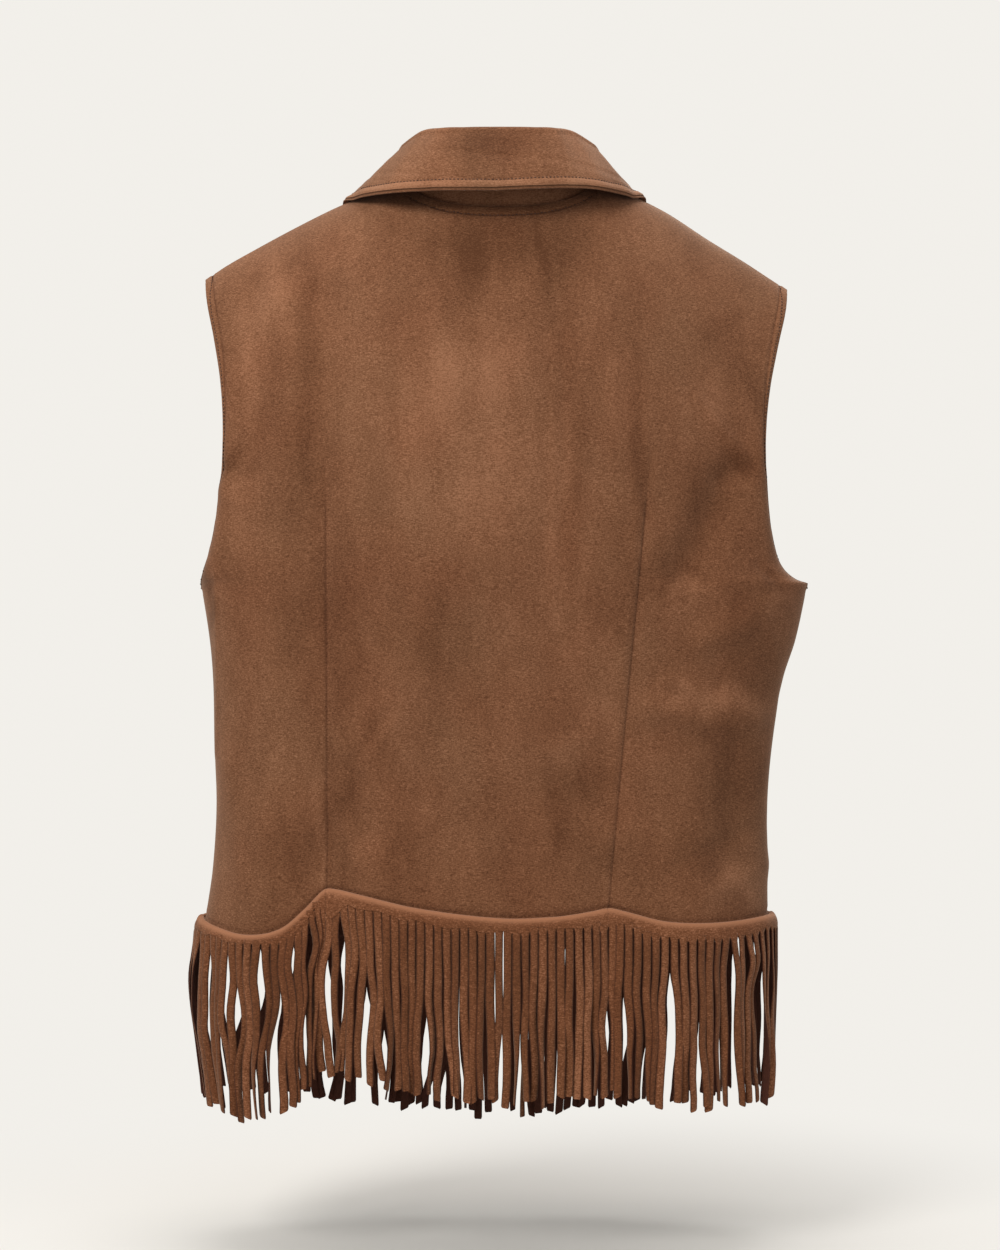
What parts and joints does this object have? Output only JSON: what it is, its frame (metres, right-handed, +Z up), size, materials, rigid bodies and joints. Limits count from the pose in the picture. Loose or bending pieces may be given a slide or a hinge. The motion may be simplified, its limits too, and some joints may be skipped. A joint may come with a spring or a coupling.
{
  "type": "fringe vest",
  "caption": "Sleeveless western-style faux suede vest, hollow as when worn, with a rolled collar, long back darts and a cut fringe round the hem.",
  "frame": {"origin": "midway between the two points where the shoulder seams meet the neck, where the wearer's shoulders hold the vest", "axes": "+Z up, the back faces -Y and the fronts face +Y, +X is the wearer's right"},
  "size_m": [0.4612, 0.1733, 0.7483],
  "materials": {
    "suede": "brown faux suede with a fine melange grain, matt and soft",
    "fringe": "brown faux suede, cut into strands, with a darker reverse side",
    "reverse": "dark brown smooth reverse side of the faux suede",
    "thread": "matt brown polyester sewing thread"
  },
  "bodies": {
    "root": {"back": "suede", "front_left": "suede", "front_right": "suede", "collar": "suede", "fringe_back_left": "fringe", "fringe_back_center": "fringe", "fringe_back_right": "fringe", "fringe_front_left": "fringe", "fringe_front_right": "fringe"}
  },
  "joints": []
}
